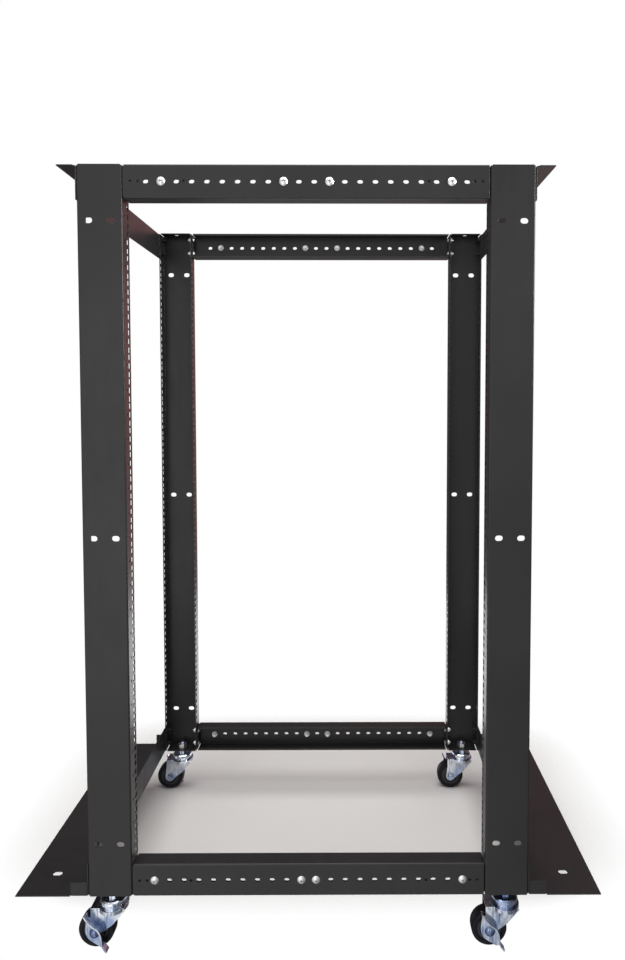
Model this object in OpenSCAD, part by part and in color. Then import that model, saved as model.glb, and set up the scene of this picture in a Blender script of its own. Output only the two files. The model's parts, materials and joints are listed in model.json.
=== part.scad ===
// Open-frame four-post 19-inch rack on casters.
// X runs along the depth: the front of the rack (first equipment face) is at -X, the rear at +X.
// Y runs across the 19-inch width: the right side, seen from the front, is at -Y, the left at +Y.
// Z is up and zero is the floor. Millimetres.

/* [Rack size] */
// Number of rack units punched in the posts
units = 27; // [12:1:42]
// Depth over the outer faces of the front and rear posts
depth = 810; // [700:10:1010]
// Clear opening between the post flanges, set by the 19-inch standard
opening_w = 450; // [450:1:451]
// Length of each post left beyond the unit holes, top and bottom
end_band = 64; // [64:1:80]

/* [Posts] */
// Width of a post channel
post_w = 80; // [70:1:100]
// Depth of the post flanges that carry the square holes
flange_d = 35; // [32:1:45]
// Thickness of the steel sheet
sheet = 2; // [1.5:0.1:2.5]
// Outer radius of the sheet folds
fold_r = 3; // [2.6:0.1:4]
// Side of the square cage-nut holes
square_hole = 9.5; // [9.5:0.05:9.6]
// Small round locating hole punched once in each unit
locating_hole = 4.5; // [3:0.1:6]
// Length of the slots in the post webs
web_slot_l = 14; // [11:0.5:18]
// Height of the slots in the post webs
web_slot_h = 10; // [8:0.5:11]
// Distance between the two slots of a pair
web_slot_pitch = 40; // [30:1:48]
// Height of the lowest and highest slot pairs above and below the post ends
web_slot_end = 98; // [90:1:140]

/* [Side rails] */
// Height of the outer rail channels
rail_h = 60; // [58:1:60]
// Depth of the outer rail channels
rail_d = 30; // [25:1:34]
// Pitch of the depth-setting slots
rail_pitch = 27; // [24:0.5:28]
// Number of depth-setting slots in each rail
rail_slots = 22; // [18:2:22]
// Length of a depth-setting slot
rail_slot_l = 10; // [8:0.5:12]
// Height of a depth-setting slot
rail_slot_h = 7.3; // [7:0.1:8]
// Small round holes punched between some of the slots of the outer rails
small_hole = 5.5; // [4:0.5:6]

/* [End beams and base] */
// Height of the upright side of the end beams
beam_h = 61; // [60:1:62]
// Reach of the top beams beyond the posts
top_plate_w = 35; // [25:1:50]
// Reach of the floor plates beyond the posts
floor_plate_w = 135; // [100:5:160]
// Length of the floor slots
floor_slot_l = 18; // [14:1:24]
// Width of the floor slots
floor_slot_w = 11; // [9:0.5:12]
// Distance of the floor slots from the posts
floor_slot_out = 82; // [60:1:110]
// Distance of the floor slots from the plate ends
floor_slot_end = 56; // [45:1:80]

/* [Casters] */
// Height of the post ends above the floor
caster_h = 102; // [102:1:110]
// Wheel diameter
wheel_d = 66; // [60:1:66]
// Tyre width
wheel_w = 24; // [20:1:24]
// Distance of the wheel axle from the swivel axis
trail = 30; // [24:1:32]

/* [Hidden] */
u = 44.45;
post_h = units * u + 2 * end_band;
width = opening_w + 2 * flange_d;
rail_l = depth - 2 * post_w;
row_z = rail_h / 2;                 // height of the screw rows above a post end
row_s = 17;                         // screws sit this far above and below the row
row_y = 17;                         // screws sit this far in from the post web face
post_x = depth / 2 - post_w / 2;    // centre line of the posts
post_y = width / 2 - flange_d / 2;  // centre line of the caster stems
nest = 0.3;                         // gap between an outer and an inner rail
m6_hole = 6.6;
m6 = 6;
top_bolts = [1, 9, 12, 20];         // slots that hold a depth bolt, counted from the front
bottom_right_bolts = [0, 10, 11, 21];
bottom_left_bolts = [0, 9, 11, 21];
relief = 1.5;                       // post flanges stop this far short of the post ends
axle_z = wheel_d / 2;
fork_in = wheel_w / 2 + 1.3;        // inner face of the fork sides
fork_out = fork_in + 2.5;           // outer face of the fork sides
lever_in = fork_out + 0.2;          // inner face of the brake lever
lever_out = lever_in + 2;
steel = [0.17, 0.17, 0.18];
zinc = [0.72, 0.73, 0.74];
plated = [0.62, 0.66, 0.74];
black_zinc = [0.1, 0.1, 0.1];
rubber = [0.06, 0.06, 0.06];
$fn = 48;

// ---- sheet metal helpers ----

// plate standing in X and Z, from Y = 0 to Y = t
module xz_plate(t) { translate([0, t, 0]) rotate([90, 0, 0]) linear_extrude(t) children(); }

// plate standing in Y and Z, from X = 0 to X = t
module yz_plate(t) { rotate([90, 0, 90]) linear_extrude(t) children(); }

// section of a fold: outer corner at the origin, sheet leaving along +X and +Y
module fold2d() {
  translate([fold_r, fold_r]) difference() {
    intersection() {
      circle(fold_r);
      translate([-fold_r, -fold_r]) square(fold_r);
    }
    circle(fold_r - sheet);
  }
}

// slot standing in a plate, long side along the first axis
module slot2d(l, h) {
  translate([-(l - h) / 2, 0]) circle(d = h);
  translate([(l - h) / 2, 0]) circle(d = h);
  square([l - h, h], center = true);
}

// ---- posts ----

// Post at the origin: web face at Y = 0 looking to -Y, flanges reaching to +Y, bottom at Z = 0.
module post_flange() {
  yz_plate(sheet) difference() {
    translate([fold_r, relief]) square([flange_d - fold_r, post_h - 2 * relief]);
    for (i = [0 : units - 1], h = [6.35, 22.225, 38.1])
      translate([flange_d - 7.45, end_band + i * u + h]) square(square_hole, center = true);
    for (i = [0 : units - 1])
      translate([14, end_band + i * u + 22.225]) circle(d = locating_hole, $fn = 24);
    for (z = [row_z, post_h - row_z], s = [-row_s, row_s])
      translate([row_y, z + s]) circle(d = m6_hole);
  }
}

module post_fold() {
  translate([-post_w / 2, 0, relief]) linear_extrude(post_h - 2 * relief) fold2d();
}

module post_end_plate() {
  difference() {
    translate([-post_w / 2 + 4, 1, 0]) cube([post_w - 8, flange_d - 2, sheet]);
    translate([0, flange_d / 2, -1]) cylinder(d = 12.5, h = 4);
  }
}

module post() {
  color(steel) union() {
    xz_plate(sheet) difference() {
      translate([-post_w / 2 + fold_r, 0]) square([post_w - 2 * fold_r, post_h]);
      for (z = [web_slot_end, post_h / 2, post_h - web_slot_end], s = [-1, 1])
        translate([s * web_slot_pitch / 2, z]) slot2d(web_slot_l, web_slot_h);
    }
    translate([-post_w / 2, 0, 0]) post_flange();
    translate([post_w / 2 - sheet, 0, 0]) post_flange();
    post_fold();
    mirror([1, 0, 0]) post_fold();
    post_end_plate();
    translate([0, 0, post_h - sheet]) post_end_plate();
  }
}

module post_front_right() { translate([-post_x, -width / 2, caster_h]) post(); }
module post_front_left() { translate([-post_x, width / 2, caster_h]) mirror([0, 1, 0]) post(); }
module post_rear_right() { translate([post_x, -width / 2, caster_h]) post(); }
module post_rear_left() { translate([post_x, width / 2, caster_h]) mirror([0, 1, 0]) post(); }

// ---- side rails ----

// Channel rail: web face at Y = 0, flanges reaching to +Y, lower face at Z = 0,
// fixing tab at the -X end at X = 0, free end at X = l. c is the middle of the slot row.
module rail(l, h, d, c, small_holes) {
  start = fold_r + 0.5; // flanges and their folds start clear of the tab
  color(steel) union() {
    translate([fold_r, 0, 0]) xz_plate(sheet) difference() {
      translate([0, fold_r]) square([l - fold_r, h - 2 * fold_r]);
      for (k = [0 : rail_slots - 1])
        translate([c - fold_r + (k - (rail_slots - 1) / 2) * rail_pitch, h / 2])
          slot2d(rail_slot_l, rail_slot_h);
      if (small_holes)
        for (m = [-11.5, -11, -8, 8, 11, 11.5])
          translate([c - fold_r + m * rail_pitch, h / 2]) circle(d = small_hole, $fn = 24);
    }
    translate([start, fold_r, 0]) cube([l - start, d - fold_r, sheet]);
    translate([start, fold_r, h - sheet]) cube([l - start, d - fold_r, sheet]);
    translate([start, 0, 0]) yz_plate(l - start) fold2d();
    translate([start, 0, h]) mirror([0, 0, 1]) yz_plate(l - start) fold2d();
    // tab turned in at the end of the web
    translate([0, 0, fold_r]) linear_extrude(h - 2 * fold_r) fold2d();
    yz_plate(sheet) difference() {
      translate([fold_r, fold_r]) square([d - fold_r - 1, h - 2 * fold_r]);
      for (s = [-row_s, row_s]) translate([row_y - (rail_d - d), h / 2 + s]) circle(d = m6_hole);
    }
  }
}

// outer rail: fixed to the front post, reaching back to just short of the rear post
module rail_outer() {
  translate([-rail_l / 2, 0, 0]) rail(rail_l - 2, rail_h, rail_d, rail_l / 2, true);
}

// inner rail: nested in the outer one, fixed to the rear post
module rail_inner() {
  o = sheet + nest;
  translate([rail_l / 2, o, o]) mirror([1, 0, 0])
    rail(rail_l - 4, rail_h - 2 * o, rail_d - o, rail_l / 2, false);
}

rail_low = caster_h;
rail_high = caster_h + post_h - rail_h;
module right_side(z) { translate([0, -width / 2, z]) children(); }
module left_side(z) { translate([0, width / 2, z]) mirror([0, 1, 0]) children(); }

module rail_top_right_outer() { right_side(rail_high) rail_outer(); }
module rail_top_right_inner() { right_side(rail_high) rail_inner(); }
module rail_top_left_outer() { left_side(rail_high) rail_outer(); }
module rail_top_left_inner() { left_side(rail_high) rail_inner(); }
module rail_bottom_right_outer() { right_side(rail_low) rail_outer(); }
module rail_bottom_right_inner() { right_side(rail_low) rail_inner(); }
module rail_bottom_left_outer() { left_side(rail_low) rail_outer(); }
module rail_bottom_left_inner() { left_side(rail_low) rail_inner(); }

// ---- end beams and base ----

// L beam on the outer faces of two posts, for the rear: back face at X = 0, reaching to +X.
// The folded plate is at the bottom; the web stands up from it. w is the reach of the plate.
module beam_web(hole_z) {
  yz_plate(sheet) difference() {
    translate([-width / 2, fold_r]) square([width, beam_h - fold_r]);
    for (m = [-1, 1], s = [-row_s, row_s])
      translate([m * (width / 2 - row_y), hole_z + s]) circle(d = m6_hole);
  }
}

module beam_fold(relief) {
  translate([0, width / 2 - relief, 0]) rotate([90, 0, 0]) linear_extrude(width - 2 * relief) fold2d();
}

module top_beam() {
  relief = 7;
  color(steel) union() {
    beam_web(row_z - 1);
    beam_fold(relief);
    linear_extrude(sheet) difference() {
      translate([fold_r, -width / 2]) square([top_plate_w - fold_r, width]);
      for (m = [-1, 1]) translate([fold_r, m * width / 2]) circle(d = 2 * 4);
    }
  }
}

module base() {
  relief = 4;
  tab_w = 35;
  tab_h = 26;
  color(steel) union() {
    beam_web(row_z);
    beam_fold(relief);
    linear_extrude(sheet) difference() {
      union() {
        translate([fold_r, -width / 2 + fold_r]) square([tab_w - fold_r, width - 2 * fold_r]);
        translate([tab_w, -width / 2]) square([floor_plate_w - tab_w, width]);
      }
      for (m = [-1, 1])
        translate([floor_slot_out, m * (width / 2 - floor_slot_end)]) slot2d(floor_slot_l, floor_slot_w);
    }
    // upright tabs at both ends of the floor plate
    for (m = [0, 1]) mirror([0, m, 0]) translate([0, -width / 2, 0]) {
      translate([fold_r, 0, 0]) xz_plate(sheet)
        translate([0, fold_r]) square([tab_w - 2 - fold_r, tab_h - fold_r]);
      translate([fold_r, 0, 0]) yz_plate(tab_w - 2 - fold_r) fold2d();
    }
  }
}

beam_high = caster_h + post_h - 1;
module beam_top_rear() { translate([depth / 2, 0, beam_high]) mirror([0, 0, 1]) top_beam(); }
module beam_top_front() { mirror([1, 0, 0]) beam_top_rear(); }
module base_rear() { translate([depth / 2, 0, caster_h]) base(); }
module base_front() { mirror([1, 0, 0]) base_rear(); }

// ---- fasteners ----

// pan-head screw pointing to -Z, underside of the head at Z = 0
module pan_screw(l, head_d, head_h) {
  r = head_d / 2;
  ball = (r * r + head_h * head_h) / (2 * head_h);
  translate([0, 0, -l]) cylinder(d = m6, h = l + 0.5);
  difference() {
    intersection() {
      translate([0, 0, head_h - ball]) sphere(ball);
      cylinder(r = r, h = head_h + 1);
    }
    // cross recess
    translate([-2.6, -0.6, head_h - 1.6]) cube([5.2, 1.2, 3]);
    translate([-0.6, -2.6, head_h - 1.6]) cube([1.2, 5.2, 3]);
  }
}

// flanged hexagon nut from Z = 0 upwards
module flange_nut(flat, h, flange) {
  difference() {
    union() {
      cylinder(d = flat / cos(30), h = h, $fn = 6);
      cylinder(d = flange, h = 1.4);
    }
    translate([0, 0, -1]) cylinder(d = m6 + 0.1, h = h + 2);
  }
}

// places a child in slots of a right-hand rail, its Z axis pointing away from the rack
module at_slots(slots, rail_z) {
  for (k = slots)
    translate([(k - (rail_slots - 1) / 2) * rail_pitch, -width / 2, rail_z + rail_h / 2])
      rotate([90, 0, 0]) children();
}

module at_depth_bolts() {
  at_slots(top_bolts, rail_high) children();
  at_slots(bottom_right_bolts, rail_low) children();
  mirror([0, 1, 0]) {
    at_slots(top_bolts, rail_high) children();
    at_slots(bottom_left_bolts, rail_low) children();
  }
}

module depth_bolts() { color(zinc) at_depth_bolts() pan_screw(15, 15.5, 3.4); }
module depth_nuts() {
  color(zinc) at_depth_bolts() translate([0, 0, -2 * sheet - nest]) mirror([0, 0, 1]) flange_nut(10, 6, 14);
}

// places a child on the inner flange of each post at both ends, its Z axis pointing into the bay
module at_rail_screws() {
  for (fx = [0, 1], side = [0, 1]) mirror([fx, 0, 0]) mirror([0, side, 0])
    for (z = [caster_h + row_z, caster_h + post_h - row_z], s = [-row_s, row_s])
      translate([-rail_l / 2, -width / 2 + row_y, z + s]) rotate([0, 90, 0]) children();
}

module rail_screws() { color(zinc) at_rail_screws() translate([0, 0, sheet]) pan_screw(13, 12, 3.6); }
module rail_screw_nuts() {
  color(zinc) at_rail_screws() translate([0, 0, -sheet]) mirror([0, 0, 1]) flange_nut(10, 6, 13.5);
}

// places a child on the outer flange of each post at both ends, its Z axis pointing away from the rack
module at_beam_screws() {
  for (fx = [0, 1], side = [0, 1]) mirror([fx, 0, 0]) mirror([0, side, 0])
    for (z = [caster_h + row_z, caster_h + post_h - row_z], s = [-row_s, row_s])
      translate([depth / 2, -width / 2 + row_y, z + s]) rotate([0, 90, 0]) children();
}

module beam_screws() { color(black_zinc) at_beam_screws() translate([0, 0, sheet]) pan_screw(13, 12, 3.6); }
module beam_screw_nuts() {
  color(black_zinc) at_beam_screws() translate([0, 0, -sheet]) mirror([0, 0, 1]) flange_nut(10, 6, 13.5);
}

// ---- casters ----

// A caster at the origin: swivel axis up through the origin, floor at Z = 0,
// wheel trailing to -X, brake lever on the -Y side.
fork_top = caster_h - 24;   // upper face of the fork plate
stud_top = caster_h + sheet + 16;

module stem() {
  color(plated) {
    // stud, swivel cap and kingpin in one turned piece
    rotate_extrude() polygon([
      [0, fork_top - 5.8], [8, fork_top - 5.8], [8, fork_top - 2.6], [5, fork_top - 2.6],
      [5, fork_top + 9], [20, fork_top + 9], [20, fork_top + 5], [23.2, fork_top + 5],
      [24, fork_top + 6], [24, fork_top + 9.5], [23, fork_top + 12.5], [20.5, fork_top + 14.5],
      [18, fork_top + 15], [9, fork_top + 15], [6, caster_h], [6, stud_top - 1], [5, stud_top],
      [0, stud_top]]);
    // hexagon collar that tightens against the post
    translate([0, 0, fork_top + 15]) cylinder(d = 18 / cos(30), h = caster_h - fork_top - 15, $fn = 6);
  }
}

// lower race with its ring of balls
module race() {
  color(plated) {
    translate([0, 0, fork_top]) rotate_extrude() polygon([
      [13, 0], [21.5, 0], [21.5, 3.2], [20.7, 4], [18.2, 4], [17.4, 3], [15.6, 3], [14.8, 4], [13, 4]]);
    for (a = [0 : 24 : 359]) rotate([0, 0, a])
      translate([16.5, 0, fork_top + 5.4]) sphere(2.6, $fn = 24);
  }
}

module fork_side2d() {
  difference() {
    union() {
      translate([-trail, axle_z]) circle(11);
      polygon([
        [-38, fork_top - 1], [22, fork_top - 1], [24.5, fork_top - 6.5], [21.7, fork_top - 9],
        [4.5, fork_top - 29], [3, fork_top - 31], [-13.4, axle_z + 1.4], [-trail + 5, axle_z - 9.8],
        [-trail - 10.9, axle_z + 1.5], [-trail - 8, axle_z + 26]]);
    }
    translate([-trail, axle_z]) circle(d = 8.1);
  }
}

module fork() {
  color(plated) difference() {
    union() {
      translate([0, -fork_out, 0]) xz_plate(2.5) fork_side2d();
      translate([0, fork_in, 0]) xz_plate(2.5) fork_side2d();
      // top plate with its round seat and square nose
      translate([0, 0, fork_top - 2.5]) linear_extrude(2.5) {
        circle(26.5);
        translate([-38, -fork_out]) square([38, 2 * fork_out]);
      }
      // turned-down rim round the seat
      translate([0, 0, fork_top - 6.5]) linear_extrude(5) difference() {
        circle(26.5);
        circle(24.5);
        translate([-30, -fork_out]) square([30, 2 * fork_out]);
      }
    }
    translate([0, 0, fork_top - 4]) cylinder(r = 5.06, h = 6);
  }
}

// axle: shank through both fork sides, domed head outside the brake lever
module axle() {
  head_r = 9.6;
  head_h = 6;
  ball = (head_r * head_r + head_h * head_h) / (2 * head_h);
  color(plated) translate([-trail, 0, axle_z]) rotate([90, 0, 0]) {
    translate([0, 0, -fork_out - 8.5]) cylinder(r = 4, h = fork_out + 8.5 + lever_out + 1);
    translate([0, 0, lever_out + 0.2]) intersection() {
      translate([0, 0, head_h - ball]) sphere(ball);
      cylinder(r = head_r, h = head_h + 1);
    }
  }
}

module axle_nut() {
  color(plated) translate([-trail, fork_out, axle_z]) rotate([-90, 0, 0]) difference() {
    union() {
      cylinder(d = 13 / cos(30), h = 6.5, $fn = 6);
      cylinder(d = 17, h = 1.6);
    }
    translate([0, 0, -1]) cylinder(r = 4.05, h = 9);
  }
}

module tyre() {
  r = wheel_d / 2;
  h = wheel_w / 2;
  color(rubber) translate([-trail, 0, axle_z]) rotate([90, 0, 0]) rotate_extrude() polygon([
    [22, -h + 1], [24, -h + 1], [25, -h], [r - 3.5, -h], [r - 1.6, -h + 0.7], [r - 0.5, -h + 2.2],
    [r - 0.1, -h + 4.2], [r, -h + 7], [r, h - 7], [r - 0.1, h - 4.2], [r - 0.5, h - 2.2],
    [r - 1.6, h - 0.7], [r - 3.5, h], [25, h], [24, h - 1], [22, h - 1]]);
}

module hub() {
  h = wheel_w / 2;
  color([0.1, 0.1, 0.1]) translate([-trail, 0, axle_z]) rotate([90, 0, 0]) rotate_extrude() polygon([
    [4.06, -fork_in + 0.3], [8.5, -fork_in + 0.3], [9, -h + 2.5], [17.5, -h + 4], [18, -h + 1],
    [22, -h + 1], [22, h - 1], [18, h - 1], [17.5, h - 4], [9, h - 2.5], [8.5, fork_in - 0.3],
    [4.06, fork_in - 0.3]]);
}

// point on a smooth curve through the points of p, at i + f
function curve(p, i, f) =
  let (a = p[max(i - 1, 0)], b = p[i], c = p[min(i + 1, len(p) - 1)], d = p[min(i + 2, len(p) - 1)])
  0.5 * (2 * b + (c - a) * f + (2 * a - 5 * b + 4 * c - d) * f * f + (3 * b - a - 3 * c + d) * f * f * f);
function smooth(p, n) = [for (i = [0 : len(p) - 2], j = [0 : n - 1]) curve(p, i, j / n), p[len(p) - 1]];
function side(p, i, t) =
  let (d = p[min(i + 1, len(p) - 1)] - p[max(i - 1, 0)], m = norm(d)) p[i] + t / m * [-d[1], d[0]];

// foot ridge of the lever, from the upper tip to the lower one, measured from the axle
ridge = smooth([[-16, 37.6], [-10.6, 28.8], [-1.4, 19], [8.6, 11.6], [13.6, 2.6], [15.3, -6.5],
  [16.6, -17], [21, -24.6], [25, -29.6]], 4);

module brake_lever() {
  plate = smooth([[-13, 33], [-15.4, 22], [-16.8, 10], [-16.6, 0], [-13.4, -8.4], [-7.2, -15.4],
    [2.8, -21.4], [11, -26.6], [17, -26.2]], 3);
  color(plated) translate([-trail, -lever_in, axle_z]) {
    // flat leaf with the axle hole
    translate([0, -2, 0]) xz_plate(2) difference() {
      polygon(concat(plate, [for (i = [28 : -1 : 4]) ridge[i]]));
      circle(r = 4.06);
    }
    // ridge standing out from the leaf
    translate([0, -12, 0]) xz_plate(12) polygon(concat(
      [for (i = [0 : len(ridge) - 1]) side(ridge, i, 1.3)],
      [for (i = [len(ridge) - 1 : -1 : 0]) side(ridge, i, -1.3)]));
  }
}

module front_right() { translate([-post_x, -post_y, 0]) children(); }
module front_left() { translate([-post_x, post_y, 0]) mirror([0, 1, 0]) children(); }
module rear_right() { translate([post_x, -post_y, 0]) children(); }
module rear_left() { translate([post_x, post_y, 0]) mirror([0, 1, 0]) children(); }

// nut welded on the lower end plate of each post
module stem_nut() {
  translate([0, 0, caster_h + sheet]) difference() {
    cylinder(d = 19 / cos(30), h = 10, $fn = 6);
    translate([0, 0, -1]) cylinder(r = 6.05, h = 12);
  }
}
module stem_nuts() {
  color(zinc) for (sx = [-1, 1], sy = [-1, 1]) translate([sx * post_x, sy * post_y, 0]) stem_nut();
}

module stem_front_right() { front_right() stem(); }
module stem_front_left() { front_left() stem(); }
module stem_rear_right() { rear_right() stem(); }
module stem_rear_left() { rear_left() stem(); }
module fork_front_right() { front_right() fork(); }
module fork_front_left() { front_left() fork(); }
module fork_rear_right() { rear_right() fork(); }
module fork_rear_left() { rear_left() fork(); }
module race_front_right() { front_right() race(); }
module race_front_left() { front_left() race(); }
module race_rear_right() { rear_right() race(); }
module race_rear_left() { rear_left() race(); }
module axle_front_right() { front_right() axle(); }
module axle_front_left() { front_left() axle(); }
module axle_rear_right() { rear_right() axle(); }
module axle_rear_left() { rear_left() axle(); }
module axle_nut_front_right() { front_right() axle_nut(); }
module axle_nut_front_left() { front_left() axle_nut(); }
module axle_nut_rear_right() { rear_right() axle_nut(); }
module axle_nut_rear_left() { rear_left() axle_nut(); }
module tyre_front_right() { front_right() tyre(); }
module tyre_front_left() { front_left() tyre(); }
module tyre_rear_right() { rear_right() tyre(); }
module tyre_rear_left() { rear_left() tyre(); }
module hub_front_right() { front_right() hub(); }
module hub_front_left() { front_left() hub(); }
module hub_rear_right() { rear_right() hub(); }
module hub_rear_left() { rear_left() hub(); }
module brake_front_right() { front_right() brake_lever(); }
module brake_front_left() { front_left() brake_lever(); }
module brake_rear_right() { rear_right() brake_lever(); }
module brake_rear_left() { rear_left() brake_lever(); }

post_front_right();
post_front_left();
post_rear_right();
post_rear_left();
beam_top_front();
beam_top_rear();
base_front();
base_rear();
rail_top_right_outer();
rail_top_right_inner();
rail_top_left_outer();
rail_top_left_inner();
rail_bottom_right_outer();
rail_bottom_right_inner();
rail_bottom_left_outer();
rail_bottom_left_inner();
depth_bolts();
depth_nuts();
rail_screws();
rail_screw_nuts();
beam_screws();
beam_screw_nuts();
stem_nuts();
stem_front_right();
stem_front_left();
stem_rear_right();
stem_rear_left();
fork_front_right();
fork_front_left();
fork_rear_right();
fork_rear_left();
race_front_right();
race_front_left();
race_rear_right();
race_rear_left();
axle_front_right();
axle_front_left();
axle_rear_right();
axle_rear_left();
axle_nut_front_right();
axle_nut_front_left();
axle_nut_rear_right();
axle_nut_rear_left();
tyre_front_right();
tyre_front_left();
tyre_rear_right();
tyre_rear_left();
hub_front_right();
hub_front_left();
hub_rear_right();
hub_rear_left();
brake_front_right();
brake_front_left();
brake_rear_right();
brake_rear_left();
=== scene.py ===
"""Open four-post 19-inch rack on casters: looks for the CAD frame, studio floor, lights and camera.

X runs along the rack's depth (front at -X), Y across the 19-inch width, Z is up. Metres.
"""

import json
import math

import bpy
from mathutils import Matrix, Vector

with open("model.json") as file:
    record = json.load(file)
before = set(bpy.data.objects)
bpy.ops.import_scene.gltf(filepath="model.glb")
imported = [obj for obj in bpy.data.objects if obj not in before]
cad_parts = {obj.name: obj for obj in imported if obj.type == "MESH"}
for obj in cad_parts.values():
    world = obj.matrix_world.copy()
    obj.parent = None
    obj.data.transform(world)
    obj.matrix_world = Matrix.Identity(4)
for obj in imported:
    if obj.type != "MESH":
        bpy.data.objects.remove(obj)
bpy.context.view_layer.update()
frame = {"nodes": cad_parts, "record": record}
scene = bpy.context.scene

# camera: a wide lens 1.4 m in front of the rack's middle plane, 1 m above the floor
CAMERA_PLACE = (0.083, -1.413, 1.023)
CAMERA_DOWN = math.radians(2.37)
CAMERA_TURN = math.radians(-0.28)
LENS_MM = 24.2
SENSOR_MM = 36
FRAMING_SHIFT = (-0.0462, -0.0599)

# light of the room in each direction
ROOM_FRONT = (0.82, 0.82, 0.82)
ROOM_FRONT_RIGHT = (0.24, 0.24, 0.24)
ROOM_SIDES = (0.20, 0.19, 0.19)
ROOM_BACK_RIGHT = (0.90, 0.36, 0.35)
ROOM_BACK_LEFT = (0.14, 0.10, 0.10)
ROOM_CEILING = (0.09, 0.07, 0.07)
ROOM_SHADE = (0.10, 0.09, 0.09)
WHITE = (1.0, 1.0, 1.0)

# where one light of the room fades into the next, along X, Y or Z of the direction
FRONT_TO_RIGHT_X = (0.13, 0.26)
FRONT_TO_SIDES_Y = (-0.5, 0.0)
SIDES_TO_BACK_Y = (0.4, 0.85)
BACK_LEFT_TO_RIGHT_X = (0.05, 0.28)
BACK_TO_CEILING_Z = (0.2, 0.5)
SHADE_TO_BACK_Z = (-0.3, -0.15)

# soft boxes: name, place, target, size, spread of the beam in degrees and watts
LIGHTS = (
    ("front_left", (-0.6, -1.5, 0.7), (-0.1, 0, 0.7), (0.8, 1.5), 180, 2.5),
    ("front_right", (0.6, -1.5, 0.7), (0.1, 0, 0.7), (0.8, 1.5), 180, 1),
    ("side_right", (2.2, -0.9, 1.8), (-0.3, -0.25, 1.5), (0.5, 0.9), 50, 6),
    ("overhead", (-0.1, 0, 3.2), (-0.1, 0, 0), (3.0, 2.4), 180, 80),
    ("floor_behind", (0.35, 1.15, 0.01), (0.35, 1.15, 1), (1.9, 1.2), 180, 19),
)

FLOOR_RADIUS = 3.0
FLOOR_SIDES = 96
# the floor is solid inside a patch with round corners, and fades out round it
PATCH_HALF_LENGTH = 0.56
PATCH_HALF_WIDTH = 0.31
PATCH_MIDDLE_Y = 0.22
PATCH_CORNER_POWER = 4
PATCH_FADE = (0.85, 1.3)

# pale and deep tints of the blue plating on the casters, and darker ones on the axles as painted shade on
# their domed heads
PLATING_TINTS = ((0.90, 0.94, 1.0), (0.34, 0.43, 0.64))
AXLE_SHADED_TINTS = ((0.55, 0.63, 0.80), (0.16, 0.21, 0.36))

# how strong each finer layer of a noise is beside the one before it
NOISE_ROUGHNESS = 0.5
# rays a point sends out to find the edges and the recesses round it
EDGE_RAYS = 4
RECESS_RAYS = 8
# cosine of the angle between rounded and true normal: full edge mask, and no mask at all; the mask carries
# the painted edge highlights
EDGE_FULL = 0.80
EDGE_NONE = 0.99


# ---- shader helpers ----


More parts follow.
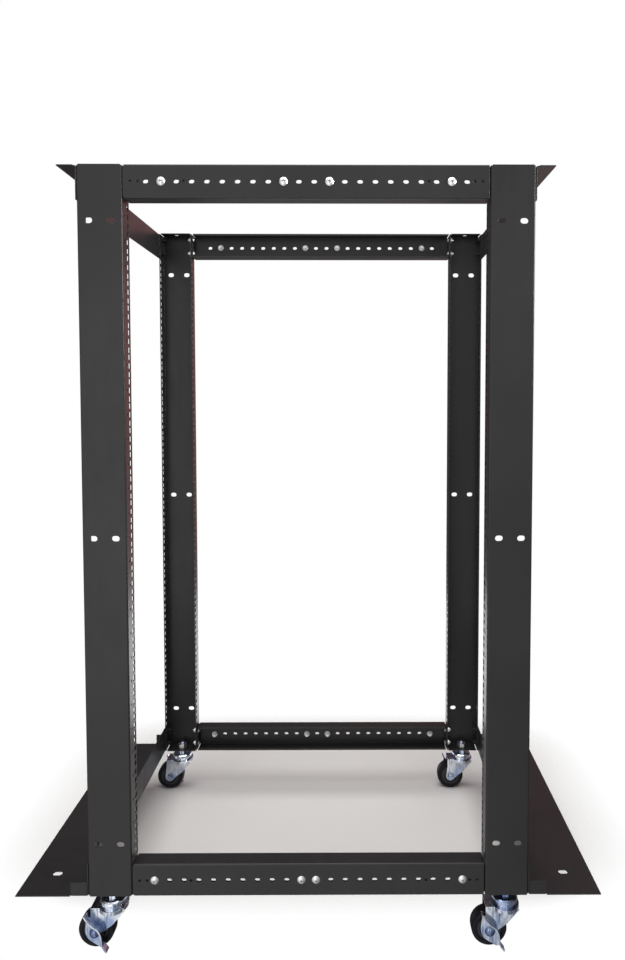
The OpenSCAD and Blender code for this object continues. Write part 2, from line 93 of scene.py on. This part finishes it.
class Shader:
    """A node tree under construction: makes nodes and joins them."""

    def __init__(self, tree, place):
        self.tree = tree
        self.place = self.add("ShaderNodeTexCoord").outputs[place]

    def add(self, kind, **settings):
        node = self.tree.nodes.new(kind)
        for key, value in settings.items():
            setattr(node, key, value)
        return node

    def put(self, socket, value):
        """Sets a socket to a plain value, or joins another node's output to it."""
        if isinstance(value, bpy.types.NodeSocket):
            self.tree.links.new(value, socket)
        elif isinstance(value, tuple) and len(value) == 3 and socket.type == "RGBA":
            socket.default_value = (*value, 1)
        else:
            socket.default_value = value

    def split(self):
        """X, Y and Z of the place."""
        node = self.add("ShaderNodeSeparateXYZ")
        self.put(node.inputs[0], self.place)
        return node.outputs

    def noise(self, scale, detail, stretch=(1, 1, 1)):
        """Noise from 0 to 1, with scale waves per metre times the stretch of each axis."""
        mapping = self.add("ShaderNodeMapping")
        self.put(mapping.inputs["Vector"], self.place)
        mapping.inputs["Scale"].default_value = stretch
        node = self.add("ShaderNodeTexNoise")
        self.put(node.inputs["Vector"], mapping.outputs["Vector"])
        node.inputs["Scale"].default_value = scale
        node.inputs["Detail"].default_value = detail
        node.inputs["Roughness"].default_value = NOISE_ROUGHNESS
        return node.outputs["Fac"]

    def spread(self, value, low, high, start=0.0, end=1.0):
        """value from start..end stretched to low..high and clamped there."""
        node = self.add("ShaderNodeMapRange")
        for name, number in (("Value", value), ("From Min", start), ("From Max", end),
                             ("To Min", low), ("To Max", high)):
            self.put(node.inputs[name], number)
        return node.outputs["Result"]

    def fade(self, value, span):
        """0 up to the start of the span, 1 from its end on."""
        return self.spread(value, 0, 1, *span)

    def maths(self, kind, first, second=0):
        node = self.add("ShaderNodeMath", operation=kind)
        self.put(node.inputs[0], first)
        self.put(node.inputs[1], second)
        return node.outputs["Value"]

    def blend(self, amount, first, second):
        """Colour between first, where amount is 0, and second, where it is 1."""
        node = self.add("ShaderNodeMix", data_type="RGBA")
        colours = [socket for socket in node.inputs if socket.type == "RGBA"]
        self.put(node.inputs[0], amount)
        self.put(colours[0], first)
        self.put(colours[1], second)
        return next(socket for socket in node.outputs if socket.type == "RGBA")

    def soft_edges(self, radius):
        """Normal of a surface whose edges are rounded over by this radius."""
        node = self.add("ShaderNodeBevel", samples=EDGE_RAYS)
        node.inputs["Radius"].default_value = radius
        return node.outputs["Normal"]

    def bump(self, height, depth, strength, normal=None):
        """Normal of a surface raised by height, from 0 to 1, times depth in metres."""
        node = self.add("ShaderNodeBump")
        node.inputs["Strength"].default_value = strength
        node.inputs["Distance"].default_value = depth
        self.put(node.inputs["Height"], height)
        if normal is not None:
            self.put(node.inputs["Normal"], normal)
        return node.outputs["Normal"]

    def openness(self, reach):
        """1 where the surface is open for this distance round it, and 0 deep in recesses."""
        node = self.add("ShaderNodeAmbientOcclusion", samples=RECESS_RAYS)
        node.inputs["Distance"].default_value = reach
        return node.outputs["AO"]

    def edge_mask(self, rounded):
        """1 on edges, where the rounded normal leaves the true one, and 0 on flats; it places the painted
        edge highlights.
        """
        true_normal = self.add("ShaderNodeNewGeometry").outputs["Normal"]
        node = self.add("ShaderNodeVectorMath", operation="DOT_PRODUCT")
        self.put(node.inputs[0], rounded)
        self.put(node.inputs[1], true_normal)
        return self.spread(node.outputs["Value"], 1, 0, EDGE_FULL, EDGE_NONE)


class Finish(Shader):
    """A material with a principled surface."""

    def __init__(self, name, colour):
        self.material = bpy.data.materials.new(name)
        self.material.use_nodes = True
        self.material.diffuse_color = (*colour, 1)
        super().__init__(self.material.node_tree, "Object")
        self.surface = self.tree.nodes["Principled BSDF"]

    def set(self, **values):
        """Sets inputs of the surface; base_color stands for Base Color."""
        for key, value in values.items():
            name = key.replace("_", " ").title().replace("Ior", "IOR")
            self.put(self.surface.inputs[name], value)


# ---- materials ----


def powder_coat():
    """Black powder coat: fine orange peel, faint clouds from handling, and a painted highlight along the
    edges.
    """
    look = Finish("powder_coat", (0.045, 0.045, 0.048))
    rounded = look.soft_edges(radius=0.0009)
    edge = look.edge_mask(rounded)
    cloud = look.noise(scale=5, detail=4)
    rub = look.noise(scale=60, detail=3, stretch=(1, 1, 0.25))
    peel = look.noise(scale=1300, detail=2)
    dark = (0.016, 0.016, 0.017)
    handled = (0.022, 0.021, 0.022)
    # painted highlight: lighter colour on the edges, patchy with the rub noise
    edge_highlight = (0.085, 0.08, 0.078)
    base = look.blend(look.fade(cloud, (0.35, 0.65)), dark, handled)
    edge_highlight_amount = look.maths("MULTIPLY", edge, look.spread(rub, 0.15, 0.9, 0.35, 0.7))
    sheen = look.spread(rub, 0.34, 0.42, 0.3, 0.7)
    look.set(base_color=look.blend(edge_highlight_amount, base, edge_highlight), specular_ior_level=0.42)
    look.set(roughness=look.maths("ADD", sheen, look.spread(peel, -0.03, 0.05)))
    look.set(normal=look.bump(peel, depth=0.00006, strength=0.35, normal=rounded))
    return look.material


def bright_zinc():
    """Bright zinc plate on screws and nuts: fine turning marks, dull spots and painted shade in the
    recesses.
    """
    look = Finish("zinc", (0.72, 0.73, 0.74))
    rounded = look.soft_edges(radius=0.0004)
    grain = look.noise(scale=900, detail=3)
    dull = look.noise(scale=220, detail=3)
    # painted shade: colour darkens deep in recesses, where the ambient occlusion closes in
    recess_shade = (0.10, 0.10, 0.11)
    bright = (0.97, 0.97, 0.98)
    dulled = (0.82, 0.83, 0.84)
    plate = look.blend(dull, bright, dulled)
    unshaded = look.fade(look.openness(reach=0.004), (0.35, 0.85))
    look.set(base_color=look.blend(unshaded, recess_shade, plate), metallic=1.0)
    look.set(roughness=look.spread(dull, 0.30, 0.48, 0.3, 0.7))
    look.set(normal=look.bump(grain, depth=0.00005, strength=0.4, normal=rounded))
    return look.material


def caster_plating(name, pale, deep):
    """Blue-bright zinc on pressed and turned steel: pale to steel-blue clouds, fine drawing streaks and a
    painted highlight on the edges.
    """
    look = Finish(name, (0.60, 0.64, 0.72))
    rounded = look.soft_edges(radius=0.0008)
    cloud = look.noise(scale=34, detail=2, stretch=(1, 1, 0.6))
    streak = look.noise(scale=300, detail=3, stretch=(1, 1, 0.12))
    wave = look.noise(scale=60, detail=1)
    streak_tint = (0.10, 0.14, 0.26)
    # painted highlight: pale colour on the edges from the edge mask
    edge_highlight_tint = (0.92, 0.95, 1.0)
    tint = look.blend(look.fade(cloud, (0.36, 0.64)), deep, pale)
    tint = look.blend(look.spread(streak, 0.75, 0, 0.28, 0.50), tint, streak_tint)
    look.set(base_color=look.blend(look.edge_mask(rounded), tint, edge_highlight_tint), metallic=1.0)
    look.set(roughness=look.spread(streak, 0.24, 0.13, 0.3, 0.7))
    look.set(normal=look.bump(wave, depth=0.0016, strength=0.6, normal=rounded))
    return look.material


def black_oxide():
    """Blackened steel on the screws of the end beams: satin, with rubbed spots."""
    look = Finish("black_fastener", (0.03, 0.03, 0.03))
    rounded = look.soft_edges(radius=0.0004)
    rub = look.noise(scale=350, detail=3)
    black = (0.020, 0.020, 0.021)
    rubbed = (0.060, 0.058, 0.056)
    look.set(base_color=look.blend(look.fade(rub, (0.5, 0.75)), black, rubbed), metallic=0.6)
    look.set(roughness=look.spread(rub, 0.32, 0.50))
    look.set(normal=look.bump(rub, depth=0.00004, strength=0.4, normal=rounded))
    return look.material


def black_rubber():
    """Tyre rubber: matte black, with a little grey dust in a fine grain."""
    look = Finish("tyre", (0.02, 0.02, 0.022))
    dust = look.noise(scale=90, detail=5)
    grain = look.noise(scale=1100, detail=3)
    rubber = (0.004, 0.004, 0.008)
    dusty = (0.014, 0.014, 0.019)
    look.set(base_color=look.blend(look.fade(dust, (0.45, 0.75)), rubber, dusty))
    look.set(roughness=look.spread(dust, 0.40, 0.62), specular_ior_level=0.22)
    look.set(normal=look.bump(grain, depth=0.00008, strength=0.4))
    return look.material


def moulded_plastic():
    """Wheel core: moulded black plastic with a faint flow pattern."""
    look = Finish("wheel_core", (0.03, 0.03, 0.032))
    rounded = look.soft_edges(radius=0.0005)
    flow = look.noise(scale=150, detail=4)
    dark = (0.014, 0.014, 0.017)
    light = (0.026, 0.026, 0.030)
    look.set(base_color=look.blend(flow, dark, light))
    look.set(roughness=look.spread(flow, 0.34, 0.52))
    look.set(normal=look.bump(flow, depth=0.00008, strength=0.3, normal=rounded))
    return look.material


def floor_paper():
    """Pale floor under the rack that runs out into the white background."""
    look = Finish("floor_paper", (0.85, 0.84, 0.83))
    cloud = look.noise(scale=1.3, detail=2)
    grain = look.noise(scale=500, detail=2)
    grey = (0.80, 0.785, 0.765)
    pale = (0.84, 0.825, 0.81)
    look.set(base_color=look.blend(cloud, grey, pale))
    look.set(roughness=0.7, specular_ior_level=0.25)
    look.set(normal=look.bump(grain, depth=0.00005, strength=0.2))
    along, y, _ = look.split()
    across = look.maths("SUBTRACT", y, PATCH_MIDDLE_Y)
    # distance from the middle of the patch, 1 on its outline
    powers = []
    for offset, half in ((along, PATCH_HALF_LENGTH), (across, PATCH_HALF_WIDTH)):
        share = look.maths("DIVIDE", look.maths("ABSOLUTE", offset), half)
        powers.append(look.maths("POWER", share, PATCH_CORNER_POWER))
    rim = look.maths("POWER", look.maths("ADD", *powers), 1 / PATCH_CORNER_POWER)
    mix = look.add("ShaderNodeMixShader")
    look.put(mix.inputs[0], look.fade(rim, PATCH_FADE))
    look.put(mix.inputs[1], look.surface.outputs["BSDF"])
    look.put(mix.inputs[2], look.add("ShaderNodeBsdfTransparent").outputs["BSDF"])
    look.put(look.tree.nodes["Material Output"].inputs["Surface"], mix.outputs["Shader"])
    return look.material


# ---- the object ----


def paint_cad():
    """Gives each CAD node the finish of its material slot in the record."""
    finishes = {
        "powder_coat": powder_coat(),
        "zinc": bright_zinc(),
        "caster_plating": caster_plating("caster_plating", *PLATING_TINTS),
        "black_fastener": black_oxide(),
        "tyre": black_rubber(),
        "wheel_core": moulded_plastic(),
    }
    # painted shade: the axles get a darker copy of the caster plating
    shaded_axle_finish = caster_plating("axle_plating_painted_shade", *AXLE_SHADED_TINTS)
    for subpart in frame["record"]["subparts"]:
        name = subpart["node"]
        slot = subpart["material_slot"]
        piece = frame["nodes"][name]
        piece.data.materials.clear()
        piece.data.materials.append(shaded_axle_finish if name.startswith("axle") else finishes[slot])


# ---- studio ----


def floor():
    """A round disc on the ground."""
    ring = []
    for i in range(FLOOR_SIDES):
        turn = math.tau * i / FLOOR_SIDES
        ring.append((FLOOR_RADIUS * math.cos(turn), FLOOR_RADIUS * math.sin(turn), 0))
    mesh = bpy.data.meshes.new("floor")
    mesh.from_pydata(ring, [], [list(range(FLOOR_SIDES))])
    mesh.materials.append(floor_paper())
    disc = bpy.data.objects.new("floor", mesh)
    scene.collection.objects.link(disc)


def soft_light(name, place, target, size, spread, watts):
    """A rectangular lamp that lights the rack but isn't seen itself."""
    lamp = bpy.data.lights.new(name, "AREA")
    lamp.shape = "RECTANGLE"
    lamp.size, lamp.size_y = size
    lamp.spread = math.radians(spread)
    lamp.energy = watts
    light = bpy.data.objects.new(name, lamp)
    light.location = place
    light.rotation_euler = (Vector(target) - Vector(place)).to_track_quat("-Z", "Y").to_euler()
    light.visible_camera = False
    scene.collection.objects.link(light)


def studio_world():
    """White behind the rack as the camera sees it, and the room that lights the rack.

    The room is pale in front, red behind the rack on the right, and dim elsewhere.
    """
    world = bpy.data.worlds.new("studio")
    world.use_nodes = True
    scene.world = world
    world.node_tree.nodes.clear()
    room = Shader(world.node_tree, "Generated")
    x, y, z = room.split()
    back = room.blend(room.fade(x, BACK_LEFT_TO_RIGHT_X), ROOM_BACK_LEFT, ROOM_BACK_RIGHT)
    back = room.blend(room.fade(y, SIDES_TO_BACK_Y), ROOM_SIDES, back)
    back = room.blend(room.fade(z, BACK_TO_CEILING_Z), back, ROOM_CEILING)
    back = room.blend(room.fade(z, SHADE_TO_BACK_Z), ROOM_SHADE, back)
    front = room.blend(room.fade(x, FRONT_TO_RIGHT_X), ROOM_FRONT, ROOM_FRONT_RIGHT)
    surroundings = room.blend(room.fade(y, FRONT_TO_SIDES_Y), front, back)
    mix = room.add("ShaderNodeMixShader")
    room.put(mix.inputs[0], room.add("ShaderNodeLightPath").outputs["Is Camera Ray"])
    for side, colour in ((1, surroundings), (2, WHITE)):
        background = room.add("ShaderNodeBackground")
        room.put(background.inputs["Color"], colour)
        room.put(mix.inputs[side], background.outputs["Background"])
    room.put(room.add("ShaderNodeOutputWorld").inputs["Surface"], mix.outputs["Shader"])


def camera():
    lens = bpy.data.cameras.new("camera")
    lens.lens = LENS_MM
    lens.sensor_width = SENSOR_MM
    lens.shift_x, lens.shift_y = FRAMING_SHIFT
    eye = bpy.data.objects.new("camera", lens)
    eye.location = CAMERA_PLACE
    eye.rotation_euler = (math.pi / 2 - CAMERA_DOWN, 0, CAMERA_TURN)
    scene.collection.objects.link(eye)
    scene.camera = eye


def studio():
    scene.view_settings.view_transform = "Standard"
    floor()
    studio_world()
    for light in LIGHTS:
        soft_light(*light)


camera()
paint_cad()
studio()
